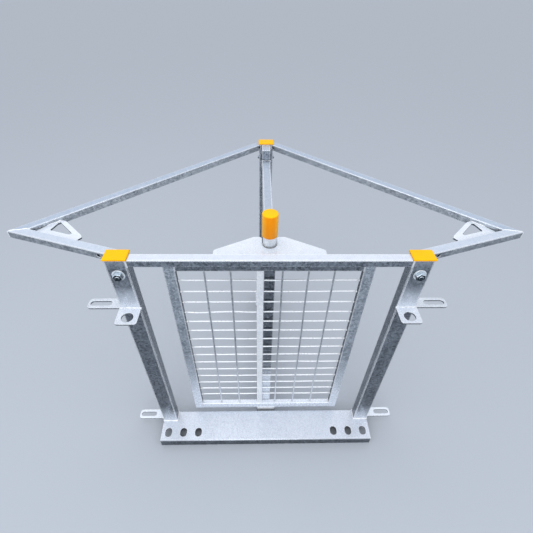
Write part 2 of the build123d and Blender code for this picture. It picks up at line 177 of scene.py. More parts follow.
def zinc(name, shade, lit, rough=0.25, bump=0.14, spangle_mm=6, sky_span=(0.25, 0.95), reflection_heights=(), flank=None,
         bare=0.9, edge_mm=6):
    """Zinc coat on steel, dipped or plated: mottled grey crystals, with painted shade on upright faces and
    painted sky light on top and along its edges.

    Shade and lit are the darkest and palest tone of upright faces, in painted shade, and of faces to the sky,
    in painted sky light, and sky_span is the upward turn over which one goes over to the other. Reflection
    heights list (height in mm, share) of painted reflection, pale where a face would mirror bright parts and
    the ground near it. Flank is (share, tone) of painted light or shade on the faces to the sides. Bare is
    how metallic the upright faces are, and edge_mm is the reach of the painted highlight along the edges.
    """
    steel = bpy.data.materials.new(name)
    steel.use_nodes = True
    tree = steel.node_tree
    shader = tree.nodes["Principled BSDF"]
    place = add(tree, "ShaderNodeTexCoord").outputs["Object"]
    facing = add(tree, "ShaderNodeNewGeometry").outputs["Normal"]
    turned = add(tree, "ShaderNodeSeparateXYZ", [(0, facing)])
    grain = zinc_grain(tree, place, spangle_mm)
    tone = add(tree, "ShaderNodeMapRange", [("Value", grain), ("From Min", 1.55),
                                            ("From Max", 2.85)]).outputs[0]
    body = add(tree, "ShaderNodeMix", [(SHARE, tone), (BELOW, linear(shade[0])), (ABOVE, linear(shade[1]))],
               data_type="RGBA").outputs[MIXED]
    painted_sky_tone = add(tree, "ShaderNodeMix", [(SHARE, tone), (BELOW, linear(lit[0])), (ABOVE, linear(lit[1]))],
               data_type="RGBA").outputs[MIXED]
    sky = add(tree, "ShaderNodeMapRange", [("Value", turned.outputs["Z"]), ("From Min", sky_span[0]),
                                           ("From Max", sky_span[1])]).outputs[0]
    matt = sky
    # painted light or shade on the faces to the sides
    if flank:
        flank_share, flank_tone = flank
        sideways = add(tree, "ShaderNodeMath", [(0, turned.outputs["X"])], operation="ABSOLUTE").outputs[0]
        beside = add(tree, "ShaderNodeMapRange", [("Value", sideways), ("From Min", FLANK_FROM),
                                                  ("To Max", flank_share)])
        body = add(tree, "ShaderNodeMix", [(SHARE, beside.outputs[0]), (BELOW, body),
                                           (ABOVE, linear(flank_tone))], data_type="RGBA").outputs[MIXED]
    if reflection_heights:
        painted_reflection = painted_reflection_by_height(tree, place, reflection_heights)
        if flank:
            # the painted reflection stays on the front and back
            ahead = add(tree, "ShaderNodeMapRange", [("Value", sideways), ("From Min", FLANK_FROM),
                                                     ("To Min", 1.0), ("To Max", 0.0)])
            painted_reflection = add(tree, "ShaderNodeMath", [(0, painted_reflection), (1, ahead.outputs[0])],
                        operation="MULTIPLY").outputs[0]
        body = add(tree, "ShaderNodeMix", [(SHARE, painted_reflection), (BELOW, body), (ABOVE, linear(lit[0]))],
                   data_type="RGBA").outputs[MIXED]
        matt = add(tree, "ShaderNodeMath", [(0, matt), (1, painted_reflection)], operation="MAXIMUM").outputs[0]
    # painted sky light: faces to the sky take the pale tone, upright faces keep their dark painted shade
    painted_sky_light = add(tree, "ShaderNodeMix", [(SHARE, sky), (BELOW, body), (ABOVE, painted_sky_tone)],
                    data_type="RGBA").outputs[MIXED]
    openness = add(tree, "ShaderNodeAmbientOcclusion", [("Distance", CORNER_SHADE_REACH_MM * MM)],
                   samples=6).outputs["AO"]
    # painted highlight along the edges
    rim = painted_edge_highlight(tree, facing, openness, edge_mm)
    matt = add(tree, "ShaderNodeMath", [(0, matt), (1, rim)], operation="MAXIMUM").outputs[0]
    edged = add(tree, "ShaderNodeMix", [(SHARE, rim), (BELOW, painted_sky_light), (ABOVE, linear(EDGE_HIGHLIGHT))],
                data_type="RGBA").outputs[MIXED]
    # painted shade in the corners of the joints, where little light reaches
    painted_corner_shade = add(tree, "ShaderNodeMapRange", [("Value", openness), ("From Min", 0.3), ("From Max", 0.7),
                                             ("To Min", 0.65), ("To Max", 1.0)])
    corner_shaded = add(tree, "ShaderNodeMix", [(SHARE, 1.0), (BELOW, edged), (ABOVE, painted_corner_shade.outputs[0])],
                 data_type="RGBA", blend_type="MULTIPLY")
    tree.links.new(corner_shaded.outputs[MIXED], shader.inputs["Base Color"])
    # pale crystals shine a little more than dark ones
    sheen = add(tree, "ShaderNodeMapRange", [("Value", grain), ("From Min", 1.6), ("From Max", 2.8),
                                             ("To Min", rough + 0.08), ("To Max", rough - 0.06)])
    tree.links.new(sheen.outputs[0], shader.inputs["Roughness"])
    # crystals stand proud on upright faces and sink flatter on the faces to the sky, under their pale painted
    # sky tone
    proud = add(tree, "ShaderNodeMapRange", [("Value", sky), ("To Min", bump), ("To Max", 0.25 * bump)])
    relief = add(tree, "ShaderNodeBump", [("Height", grain), ("Strength", proud.outputs[0]),
                                          ("Distance", RELIEF_MM * MM)])
    tree.links.new(relief.outputs[0], shader.inputs["Normal"])
    # bare metal on the upright faces, a matt skin of white zinc salts where sky light, reflection and edge
    # highlights are painted
    metal = add(tree, "ShaderNodeMapRange", [("Value", matt), ("To Min", bare), ("To Max", 0.25)])
    tree.links.new(metal.outputs[0], shader.inputs["Metallic"])
    return steel


# Moulded polyethylene: sizes of what shows in its skin
BLOTCH_MM = 30
PEBBLE_MM = 1.5
PEBBLE_DEPTH_MM = 0.2
DRAW_MARK_MM = 3
DRAW_HEIGHT_SHARE = 0.05


def moulded(name, front, flank, top, rough):
    """Moulded polyethylene, faintly pebbled, with painted light: yellow on top and round the sides, deeper
    orange on the front.
    """
    plastic = bpy.data.materials.new(name)
    plastic.use_nodes = True
    tree = plastic.node_tree
    shader = tree.nodes["Principled BSDF"]
    place = add(tree, "ShaderNodeTexCoord").outputs["Object"]
    facing = add(tree, "ShaderNodeNewGeometry").outputs["Normal"]
    turned = add(tree, "ShaderNodeSeparateXYZ", [(0, facing)])
    # blotches where handling has dulled it
    blotch = add(tree, "ShaderNodeTexNoise", [("Vector", place), ("Scale", per_metre(BLOTCH_MM)),
                                              ("Detail", 4.0)])
    # the pebbled skin of a mould is finer than this, and is drawn coarser so that it shows
    pebble = add(tree, "ShaderNodeTexNoise", [("Vector", place), ("Scale", per_metre(PEBBLE_MM)),
                                              ("Detail", 2.0)])
    # upright marks from drawing the piece out of its mould
    drawn = add(tree, "ShaderNodeMapping", [("Vector", place), ("Scale", (1.0, 1.0, DRAW_HEIGHT_SHARE))])
    marks = add(tree, "ShaderNodeTexNoise", [("Vector", drawn.outputs[0]),
                                             ("Scale", per_metre(DRAW_MARK_MM)), ("Detail", 2.0)])
    # painted light: the sides and the top paler and yellower than the front
    sideways = add(tree, "ShaderNodeMath", [(0, turned.outputs["X"])], operation="ABSOLUTE")
    beside = add(tree, "ShaderNodeMapRange", [("Value", sideways.outputs[0]), ("From Min", 0.45),
                                              ("From Max", 0.9)])
    upright = add(tree, "ShaderNodeMix", [(SHARE, beside.outputs[0]), (BELOW, linear(front)),
                                          (ABOVE, linear(flank))], data_type="RGBA").outputs[MIXED]
    sky = add(tree, "ShaderNodeMapRange", [("Value", turned.outputs["Z"]), ("From Min", 0.1),
                                           ("From Max", 0.8)])
    painted_light_hue = add(tree, "ShaderNodeMix", [(SHARE, sky.outputs[0]), (BELOW, upright), (ABOVE, linear(top))],
              data_type="RGBA").outputs[MIXED]
    wear = add(tree, "ShaderNodeMath", [(0, blotch.outputs["Fac"]), (1, marks.outputs["Fac"])],
               operation="ADD")
    shade = add(tree, "ShaderNodeMapRange", [("Value", wear.outputs[0]), ("From Min", 0.7),
                                             ("From Max", 1.3), ("To Min", 0.92), ("To Max", 1.03)])
    worn = add(tree, "ShaderNodeMix", [(SHARE, 1.0), (BELOW, painted_light_hue), (ABOVE, shade.outputs[0])],
               data_type="RGBA", blend_type="MULTIPLY")
    tree.links.new(worn.outputs[MIXED], shader.inputs["Base Color"])
    gloss = add(tree, "ShaderNodeMapRange", [("Value", blotch.outputs["Fac"]), ("From Min", 0.3),
                                             ("From Max", 0.7), ("To Min", rough - 0.08),
                                             ("To Max", rough + 0.1)])
    tree.links.new(gloss.outputs[0], shader.inputs["Roughness"])
    relief = add(tree, "ShaderNodeBump", [("Height", pebble.outputs["Fac"]), ("Strength", 0.15),
                                          ("Distance", PEBBLE_DEPTH_MM * MM)])
    tree.links.new(relief.outputs[0], shader.inputs["Normal"])
    shader.inputs["IOR"].default_value = 1.51
    shader.inputs["Specular IOR Level"].default_value = 0.15
    return plastic


# Tones as (darkest, palest) of upright faces in painted shade or of faces in painted sky light, and painted
# reflections as (height in mm, share)
DARK = ("#3f464e", "#8d949c")
SKY = ("#c9d1dd", "#d6dee9")
WHITE_SKY = ("#d6dee9", "#e4ebf4")
# painted reflection by height: pale where posts, stiles and wires would mirror bright parts and the ground
# near them
POST_REFLECTION = ((40, 0.95), (110, 0.5), (170, 0.0), (799, 0.0), (800, 0.95), (850, 0.6), (895, 0.1),
              (950, 0.0), (992, 0.3))
STILE_REFLECTION = ((55, 1.0), (200, 0.85), (330, 0.45), (480, 0.0))
ARM_REFLECTION = ((55, 1.0), (280, 0.9), (350, 0.25), (480, 0.0))

# one zinc coat, given lighter or darker tones piece by piece for the painted light and shade that each piece
# gets
# lesser tubes, pins and plates: plain dark crystals with a pale top of painted sky light
galvanised = zinc("galvanised_steel", DARK, SKY)
# cut plates: nearly white from above with painted sky light, and a fine painted highlight along the cut
plate_zinc = zinc("galvanised_cut_plate", DARK, WHITE_SKY, edge_mm=3)
# folded base plate: its lip almost black with painted shade below the pale tread
base_zinc = zinc("galvanised_folded_plate", ("#23292f", "#7d858d"), SKY, edge_mm=4)
# posts: dark with painted shade, pale with painted reflection at the foot and above the upper lugs, their
# sides lighter with painted light
post_zinc = zinc("galvanised_post_tube", DARK, WHITE_SKY, reflection_heights=POST_REFLECTION, flank=(0.3, "#9aa1a9"))
# top rail: a little lighter than the posts that it joins
top_zinc = zinc("galvanised_top_rail_tube", ("#4a525b", "#9ea6af"), SKY)
# wing tubes: soft grey sides under a bluish top
wing_zinc = zinc("galvanised_wing_tube", ("#59616a", "#b0b7bf"), ("#b7c2d2", "#c8d2e0"), bare=0.6, edge_mm=4)
# long tubes: the dullest and bluest tops, with pale matt sides
long_zinc = zinc("galvanised_long_tube", ("#757e88", "#c8cfd7"), ("#9fadc1", "#b3c0d1"), bare=0.4, edge_mm=4)
# hinge end: even grey with little change from side to top
head_zinc = zinc("galvanised_hinge_plate", ("#5c656e", "#a4abb4"), ("#a2adbd", "#b4bfcd"), bare=0.8)
# panel tubes: pale fronts that whiten to the foot with painted reflection, and flanks nearly black with
# painted shade
stile_zinc = zinc("galvanised_panel_tube", ("#6f7882", "#bfc6ce"), WHITE_SKY, reflection_heights=STILE_REFLECTION,
                  flank=(0.95, "#2b3137"), bare=0.75, edge_mm=4)
# front stile of the arm: the darkest tube, in painted shade, white in its lower third with painted reflection
arm_zinc = zinc("galvanised_arm_tube", ("#363c43", "#7d848c"), WHITE_SKY, reflection_heights=ARM_REFLECTION, edge_mm=2)
# handle tube, flat bar and skid: painted reflection of the sky, almost white from every side
bright_zinc = zinc("bright_galvanised_steel", ("#cbd2d9", "#f3f6f9"), WHITE_SKY, bare=0.25, edge_mm=2)
# level wires: thin white lines, painted sky light reaching nearly round them so they hardly darken underneath
wire_zinc = zinc("galvanised_level_wire", ("#c9d0d8", "#e6ebf0"), ("#e6ecf2", "#f6f9fc"), rough=0.3,
                 bump=0.08, sky_span=(-0.6, 0.3), bare=0.3, edge_mm=0.5)
# upright wires: greyer than the level ones in painted shade, paling to the foot with painted reflection
upright_zinc = zinc("galvanised_upright_wire", ("#6f7780", "#b4bac2"), ("#d9e0e8", "#f0f4f8"), rough=0.3,
                    bump=0.1, reflection_heights=STILE_REFLECTION, bare=0.4, edge_mm=0.5)
# welds: white lumps with painted sky light reaching far round them, rougher than the tubes
weld_zinc = zinc("galvanised_weld", ("#b9c0c8", "#e4e8ed"), ("#e0e6ee", "#f6f8fb"), rough=0.3, bump=0.3,
                 spangle_mm=5, sky_span=(-0.1, 0.6), bare=0.3, edge_mm=0.5)
# plated washers: a smooth disc behind the nut, painted white with reflected sky
washer_zinc = zinc("plated_washer_steel", ("#b4c0cb", "#e3ebf2"), ("#dde5ec", "#f8fbfd"), bump=0.06,
                   bare=0.3, edge_mm=0.8)
# plated nuts: near-black flats in painted shade, with painted sky light on the upper face
nut_zinc = zinc("plated_nut_steel", ("#161f25", "#3b4852"), ("#b7cbdc", "#d6e4ef"), rough=0.2, bump=0.06,
                sky_span=(0.1, 0.5), edge_mm=0.8)
# caps: flat golden yellow, with painted light a shade brighter on top
cap_yellow = moulded("moulded_polyethylene_cap", "#f6ae00", "#f6ae00", "#f9bb00", 0.5)
# grip: orange in front, with painted light yellow round the sides and on its crown
grip_yellow = moulded("moulded_polyethylene_grip", "#f39200", "#ffb827", "#fabf00", 0.42)

# Finish of the carried-over solids: by material slot, or a solid's own
SLOT_FINISH = {
    "galvanised_steel": galvanised,
    "wire_steel": wire_zinc,
    "fixing_steel": nut_zinc,
    "cap_plastic": cap_yellow,
    "grip_plastic": grip_yellow,
}
OWN_FINISH = {
    base_zinc: ("base_plate",),
    plate_zinc: ("brace_plate", "left_corner_gusset", "right_corner_gusset", "left_front_lug",
                 "right_front_lug", "left_upper_side_lug", "right_upper_side_lug", "left_lower_side_lug",
                 "right_lower_side_lug"),
    post_zinc: ("left_post", "right_post"),
    top_zinc: ("top_rail",),
    wing_zinc: ("left_wing_rail", "right_wing_rail"),
    long_zinc: ("left_long_rail", "right_long_rail"),
    head_zinc: ("apex_post", "hinge_head", "gate_top_bar"),
    stile_zinc: ("panel_left_stile", "panel_right_stile", "panel_bottom_rail"),
    arm_zinc: ("gate_front_stile",),
    bright_zinc: ("handle_tube", "panel_centre_bar", "gate_skid"),
}
finish_of = {node: finish for finish, held in OWN_FINISH.items() for node in held}
for row in frame["record"]["subparts"]:
    node = row["node"]
    for held in nodes[node].material_slots:
        held.material = finish_of.get(node, SLOT_FINISH[row["material_slot"]])

# Carried-over solids: points joined, flat faces whole again, edges eased
JOIN_REACH = 0.01 * MM
FLAT_WITHIN = math.radians(1.0)
EDGE_EASE = 0.8 * MM
EASE_FROM = math.radians(32)
for solid in nodes.values():
    joined = solid.modifiers.new("joined", "WELD")
    joined.merge_threshold = JOIN_REACH
    flat = solid.modifiers.new("flat", "DECIMATE")
    flat.decimate_type = "DISSOLVE"
    flat.angle_limit = FLAT_WITHIN
    eased = solid.modifiers.new("eased", "BEVEL")
    eased.width = EDGE_EASE
    eased.segments = 2
    eased.limit_method = "ANGLE"
    eased.angle_limit = EASE_FROM
    eased.harden_normals = True


def piece(name, mesh, body, slot, finish, *replaced):
    """A mesh made here, riding on a body and standing for the nodes named."""
    data = bpy.data.meshes.new(name)
    mesh.to_mesh(data)
    mesh.free()
    made = bpy.data.objects.new(name, data)
    scene.collection.objects.link(made)
    data.materials.append(finish)
    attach(made, body)
    if replaced:
        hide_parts(*replaced)


def centre_and_half(node):
    """Middle of a node's box, and half its size each way."""
    lo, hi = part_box(node)
    return (lo + hi) / 2, (hi - lo) / 2


def outer_x(node, s):
    """How far a node reaches to the left or the right."""
    lo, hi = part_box(node)
    return hi.x if s > 0 else lo.x


# Wires and weld beads are round rods, the fixings and the grip are turned
ROD_SIDES = 8


def sweep(mesh, points, radii, closed=False):
    """A round rod through the points, with its own radius at each."""
    count = len(points)
    rings = []
    across = None
    for k, point in enumerate(points):
        ahead = points[(k + 1) % count] if closed or k < count - 1 else point
        behind = points[k - 1] if closed or k > 0 else point
        along = (ahead - behind).normalized()
        if across is None:
            across = along.orthogonal().normalized()
        across = (across - along * across.dot(along)).normalized()
        other = along.cross(across)
        ring = []
        for i in range(ROD_SIDES):
            turn = 2 * math.pi * i / ROD_SIDES
            spoke = across * math.cos(turn) + other * math.sin(turn)
            ring.append(mesh.verts.new(point + spoke * radii[k]))
        rings.append(ring)
    pairs = list(zip(rings, rings[1:]))
    if closed:
        pairs.append((rings[-1], rings[0]))
    for a, b in pairs:
        for i in range(ROD_SIDES):
            j = (i + 1) % ROD_SIDES
            mesh.faces.new((a[i], a[j], b[j], b[i])).smooth = True
    if not closed:
        mesh.faces.new(list(reversed(rings[0])))
        mesh.faces.new(rings[-1])


def lathe(mesh, profile, base, axis, sides):
    """Turns (radius, height) pairs about an axis."""
    across = axis.orthogonal().normalized()
    other = axis.cross(across)
    rings = []
    for radius, height in profile:
        ring = []
        for i in range(sides):
            turn = 2 * math.pi * i / sides
            spoke = across * math.cos(turn) + other * math.sin(turn)
            ring.append(mesh.verts.new(base + axis * height + spoke * radius))
        rings.append(ring)
    for a, b in zip(rings, rings[1:]):
        for i in range(sides):
            j = (i + 1) % sides
            mesh.faces.new((a[i], a[j], b[j], b[i]))
    mesh.faces.new(list(reversed(rings[0])))
    mesh.faces.new(rings[-1])


# How the weld metal lies: ripples, lumps and a hand that wanders
WELD_STEP = 2.2 * MM
RIPPLE = 6.5 * MM
LUMPS_PER_METRE = 90.0
WANDERS_PER_METRE = 60.0
WANDER_SHARE = 0.22
BEAD_SHARE = 0.82
RIPPLE_SHARE = 0.2
LUMP_SHARE = 0.3
BEAD_END_SHARE = 0.45
BEAD_END_STEP_SHARE = 0.3
DROP_LUMPS_PER_METRE = 130.0
DROP_LUMP_SHARE = 0.28


def weld_path(mesh, corners, radius, closed=False):
    """A weld bead laid along the corners: rippled, a little uneven, and half sunk in the steel."""
    points = []
    legs = list(zip(corners, corners[1:]))
    if closed:
        legs.append((corners[-1], corners[0]))
    for a, b in legs:
        steps = max(2, round((b - a).length / WELD_STEP))
        points += [a.lerp(b, k / steps) for k in range(steps)]
    if not closed:
        points.append(corners[-1])
    radii = []
    laid = []
    run = 0.0
    for k, point in enumerate(points):
        if k:
            run += (point - points[k - 1]).length
        lump = noise.noise(point * LUMPS_PER_METRE)
        ripple = abs(math.sin(math.pi * run / RIPPLE))
        from_end = min(k, len(points) - 1 - k)
        taper = 1.0 if closed else min(1.0, BEAD_END_SHARE + BEAD_END_STEP_SHARE * from_end)
        radii.append(radius * taper * (BEAD_SHARE + RIPPLE_SHARE * ripple + LUMP_SHARE * lump))
        laid.append(point + noise.noise_vector(point * WANDERS_PER_METRE) * radius * WANDER_SHARE)
    sweep(mesh, laid, radii, closed)


def weld_end(mesh, node, axis, end, radius, shy=0.0):
    """A weld bead round the end, -1 or 1, of a straight tube or plate, drawn in by shy at its sides."""
    centre, half = centre_and_half(node)
    u, v = (i for i in range(3) if i != axis)
    seat = centre + AXES[axis] * (half[axis] * end)
    corners = [seat + AXES[u] * ((half[u] - shy) * a) + AXES[v] * (half[v] * b)
               for a, b in SQUARE]
    weld_path(mesh, corners, radius, closed=True)


def weld_circle(mesh, centre, reach, count, radius):
    """A weld bead round an upright pin or tube."""
    turns = [2 * math.pi * k / count for k in range(count)]
    corners = [centre + Vector((math.cos(turn), math.sin(turn), 0)) * reach for turn in turns]
    weld_path(mesh, corners, radius, closed=True)


def weld_drop(mesh, at, size, stretch):
    """One drop of weld metal."""
    made = bmesh.ops.create_icosphere(mesh, subdivisions=2, radius=size)["verts"]
    for vert in made:
        lump = 1.0 + DROP_LUMP_SHARE * noise.noise((vert.co + at) * DROP_LUMPS_PER_METRE)
        vert.co = at + vert.co * Vector(stretch) * lump
    for face in {f for vert in made for f in vert.link_faces}:
        face.smooth = True


# Mesh infill of the gate: level wires between the stiles, uprights laid against them
WIRE_RADIUS = 2.75 * MM
WIRE_BURY = 2 * MM
LEVEL_WIRES = 15
TOP_GAP = 50 * MM
FOOT_GAP = 65 * MM
PANEL_UPRIGHTS_MM = (-200, -120, 40, 120, 200)
ARM_UPRIGHTS = 5
UPRIGHT_SETOFF = 1.75 * WIRE_RADIUS
SWAYS_PER_METRE = 7.0
DRIFT_SPAN = 50
# one level wire is bent, counted down from 0, with dents at (place across, half width, rise)
BENT_WIRE = 3
DENTS_MM = ((-235, 40, -4.2), (-120, 40, 1.6), (-55, 25, -1.6))

# A set of like wires: step between points, sway, and its weld drops: size, set in, set forward, stretch
WireSet = namedtuple("WireSet", "step sway drop inset forward stretch")
PANEL_LEVEL = WireSet(15 * MM, 1.3 * MM, 4.2 * MM, 1.5 * MM, 1.0 * MM, (1.0, 0.9, 0.85))
PANEL_UPRIGHT = WireSet(20 * MM, 1.2 * MM, 4.0 * MM, 1.0 * MM, 0.0, (1.1, 1.0, 0.8))
ARM_LEVEL = WireSet(18 * MM, 1.0 * MM, 4.0 * MM, 1.0 * MM, 0.0, (1.0, 0.9, 0.9))
ARM_UPRIGHT = WireSet(20 * MM, 1.0 * MM, 4.0 * MM, 1.0 * MM, 0.0, (1.0, 1.1, 0.8))


def hand_drawn(start, end, step, sway, dents):
    """Points along a wire that isn't quite straight."""
    count = max(2, round((end - start).length / step))
    # every wire sways in its own way
    drift = Vector((rng.uniform(0, DRIFT_SPAN), 0, 0))
    points = []
    for k in range(count + 1):
        t = k / count
        point = start.lerp(end, t)
        hold = math.sin(math.pi * t) ** 0.5
        point += noise.noise_vector(point * SWAYS_PER_METRE + drift) * sway * hold
        for middle, width, rise in dents:
            point.z += rise * MM * math.exp(-((point.x - middle * MM) / (width * MM)) ** 2)
        points.append(point)
    return points


def lay_wire(wires, drops, run, kind, dents=()):
    """One wire from tube to tube, its ends buried in them and held by a drop of weld."""
    start, end = run
    along = (end - start).normalized()
    points = hand_drawn(start - along * WIRE_BURY, end + along * WIRE_BURY, kind.step, kind.sway, dents)
    sweep(wires, points, [WIRE_RADIUS] * len(points))
    for face, inward in ((start, along), (end, -along)):
        weld_drop(drops, face + inward * kind.inset - BACK * kind.forward, kind.drop, kind.stretch)


def mesh_infill(part, level_runs, level_kind, upright_runs, upright_kind, bent=None):
    """The wires of one mesh with their welds, in place of its plain solid."""
    wires = bmesh.new()
    uprights = bmesh.new()
    drops = bmesh.new()
    for k, run in enumerate(level_runs):
        lay_wire(wires, drops, run, level_kind, DENTS_MM if k == bent else ())
    for run in upright_runs:
        lay_wire(uprights, drops, run, upright_kind)
    piece(f"{part}_level_wires", wires, "gate", "wire_steel", wire_zinc, f"{part}_mesh")
    piece(f"{part}_upright_wires", uprights, "gate", "wire_steel", upright_zinc)
    piece(f"{part}_wire_welds", drops, "gate", "galvanised_steel", weld_zinc)


panel_lo, panel_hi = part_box("panel_mesh")
level_pitch = (panel_hi.z - panel_lo.z - TOP_GAP - FOOT_GAP) / (LEVEL_WIRES - 1)
levels = [panel_hi.z - TOP_GAP - k * level_pitch for k in range(LEVEL_WIRES)]
wire_y = (panel_lo.y + panel_hi.y) / 2
upright_y = wire_y - UPRIGHT_SETOFF
mesh_infill(
    "panel",
    [(Vector((panel_lo.x, wire_y, z)), Vector((panel_hi.x, wire_y, z))) for z in levels],
    PANEL_LEVEL,
    [(Vector((x * MM, upright_y, panel_lo.z)), Vector((x * MM, upright_y, panel_hi.z)))
     for x in PANEL_UPRIGHTS_MM],
    PANEL_UPRIGHT,
    BENT_WIRE,
)
arm_lo, arm_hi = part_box("arm_mesh")
arm_pitch = (arm_hi.y - arm_lo.y) / (ARM_UPRIGHTS + 1)
arm_places = [arm_lo.y + arm_pitch * (k + 1) for k in range(ARM_UPRIGHTS)]
mesh_infill(
    "arm",
    [(Vector((0, arm_lo.y, z)), Vector((0, arm_hi.y, z))) for z in levels],
    ARM_LEVEL,
    [(Vector((UPRIGHT_SETOFF, y, arm_lo.z)), Vector((UPRIGHT_SETOFF, y, arm_hi.z))) for y in arm_places],
    ARM_UPRIGHT,
)

# Fixings on the posts, turned from (radius, height) in mm
WASHER_MM = ((18.2, 0.0), (18.5, 0.5), (18.5, 2.6), (17.9, 3.1))
NUT_MM = ((12.6, 3.0), (14.4, 4.2), (14.4, 13.0), (12.6, 14.4))
THREAD_MM = ((6.0, 14.0), (6.0, 15.2), (5.2, 15.8))
WASHER_SIDES = 40
NUT_SIDES = 6
THREAD_SIDES = 20
POST_BOLT_SIZE = 1.0
APEX_BOLT_SIZE = 0.45


def turned_steel(mesh, profile_mm, seat, out, sides, size):
    """Turns a profile on its seat; out points away from the post."""
    lathe(mesh, [(r * MM * size, h * MM * size) for r, h in profile_mm], seat, out, sides)


def post_fixing(name, seats, size, replaced):
    """Washer, hexagon nut and the end of the thread on each seat."""
    washer = bmesh.new()
    nut = bmesh.new()
    for seat, out in seats:
        turned_steel(washer, WASHER_MM, seat, out, WASHER_SIDES, size)
        turned_steel(nut, NUT_MM, seat, out, NUT_SIDES, size)
        turned_steel(nut, THREAD_MM, seat, out, THREAD_SIDES, size)
    piece(f"{name}_washer", washer, "frame", "fixing_steel", washer_zinc)
    piece(f"{name}_nut", nut, "frame", "fixing_steel", nut_zinc, replaced)


for side, s in SIDES:
    bolt, _ = centre_and_half(f"{side}_post_bolt")
    post_lo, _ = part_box(f"{side}_post")
    post_fixing(f"{side}_bolt", [(Vector((bolt.x, post_lo.y, bolt.z)), -BACK)], POST_BOLT_SIZE,
                f"{side}_post_bolt")
bolt, _ = centre_and_half("apex_bolt")
seats = [(Vector((outer_x("apex_post", s), bolt.y, bolt.z)), ACROSS * s) for _, s in SIDES]
post_fixing("apex_bolt", seats, APEX_BOLT_SIZE, "apex_bolt")

# Weld beads, by their radius
FOOT_BEAD = 4.5 * MM
THROAT_BEAD = 4.0 * MM
FRONT_LUG_BEAD = 3.2 * MM
APEX_FOOT_BEAD = 3.0 * MM
TUBE_BEAD = 2.6 * MM
SEAM_BEAD = 2.4 * MM
PANEL_BEAD = 2.2 * MM
BRACE_BEAD = 2.0 * MM
TIP_BEAD = 1.8 * MM

# Welds of the posts, the top rail and the lugs
LUG_SHY = 1 * MM
foot_welds = bmesh.new()
rail_welds = bmesh.new()
lug_welds = bmesh.new()
for side, s in SIDES:
    weld_end(foot_welds, f"{side}_post", Z, -1, FOOT_BEAD)
    weld_end(rail_welds, "top_rail", X, s, TUBE_BEAD)
    for level in ("upper", "lower"):
        weld_end(lug_welds, f"{side}_{level}_side_lug", X, -s, SEAM_BEAD, LUG_SHY)
    weld_end(lug_welds, f"{side}_front_lug", Y, 1, FRONT_LUG_BEAD, LUG_SHY)
piece("post_foot_welds", foot_welds, "frame", "galvanised_steel", weld_zinc)
piece("top_rail_welds", rail_welds, "frame", "galvanised_steel", weld_zinc)
piece("lug_welds", lug_welds, "frame", "galvanised_steel", weld_zinc)

# Welds of the kite: mitres at the tips, seams at the posts and the apex, and stitches along the gussets
TIP_DEPTH = 135 * MM
WING_FOOT_DEPTH = 27.3 * MM
APEX_RAIL_END = 34 * MM
TIP_INSET = 4 * MM
TIP_EDGE_SHARE = 0.9
TIP_TRIM = 2 * MM
CAP_TRIM = 3 * MM
GUSSET_LEG = 156 * MM
GUSSET_DROP = 12 * MM
WING_STITCH_SHARES = (0.1, 0.97)
LONG_STITCH_SHARES = (0.31, 0.6)

rail_lo, rail_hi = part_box("top_rail")
apex_lo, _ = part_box("apex_post")
rail_depth = rail_hi.y - rail_lo.y
rail_drop = UP * (rail_hi.z - rail_lo.z)
kite_welds = bmesh.new()
gusset_welds = bmesh.new()
for side, s in SIDES:
    _, post_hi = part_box(f"{side}_post")
    post_x = outer_x(f"{side}_post", s)
    apex_x = outer_x("apex_post", s)
    tip = Vector((outer_x(f"{side}_wing_rail", s), rail_lo.y + TIP_DEPTH, rail_hi.z))
    foot = Vector((post_x, rail_lo.y + WING_FOOT_DEPTH, rail_hi.z))
    crest = Vector((apex_x, apex_lo.y + APEX_RAIL_END, rail_hi.z))
    wing = (foot - tip).normalized()
    long = (crest - tip).normalized()
    # the throat of the mitre, where the inner faces of both rails meet
    on_wing = tip + Vector((s * wing.y, -s * wing.x, 0)) * rail_depth
    on_long = tip + Vector((-s * long.y, s * long.x, 0)) * rail_depth
    gap = on_long - on_wing
    reach = (gap.x * long.y - gap.y * long.x) / (wing.x * long.y - wing.y * long.x)
    throat = on_wing + wing * reach
    inset = (throat - tip).normalized() * TIP_INSET
    edge = tip + inset * TIP_EDGE_SHARE
    weld_path(kite_welds, [tip + inset, throat], SEAM_BEAD)
    weld_path(kite_welds, [edge - UP * TIP_TRIM, edge - rail_drop + UP * TIP_TRIM], TIP_BEAD)
    weld_path(kite_welds, [throat, throat - rail_drop], THROAT_BEAD)
    # each rail is cut to the corner of the post or apex post that carries it
    post_corner = Vector((post_x, post_hi.y, rail_hi.z))
    post_heel = throat + wing * ((post_hi.y - throat.y) / wing.y)
    apex_corner = Vector((apex_x, apex_lo.y, rail_hi.z))
    apex_heel = throat + long * ((apex_lo.y - throat.y) / long.y)
    for end, corner, heel in ((foot, post_corner, post_heel), (crest, apex_corner, apex_heel)):
        weld_path(kite_welds, [end - UP * CAP_TRIM, end - rail_drop, corner - rail_drop], SEAM_BEAD)
        weld_path(kite_welds, [corner, heel, heel - rail_drop], SEAM_BEAD)
    for along, shares in ((wing, WING_STITCH_SHARES), (long, LONG_STITCH_SHARES)):
        stitch = [throat - UP * GUSSET_DROP + along * (GUSSET_LEG * share) for share in shares]
        weld_path(gusset_welds, stitch, SEAM_BEAD)
piece("kite_welds", kite_welds, "frame", "galvanised_steel", weld_zinc)
piece("gusset_welds", gusset_welds, "frame", "galvanised_steel", weld_zinc)

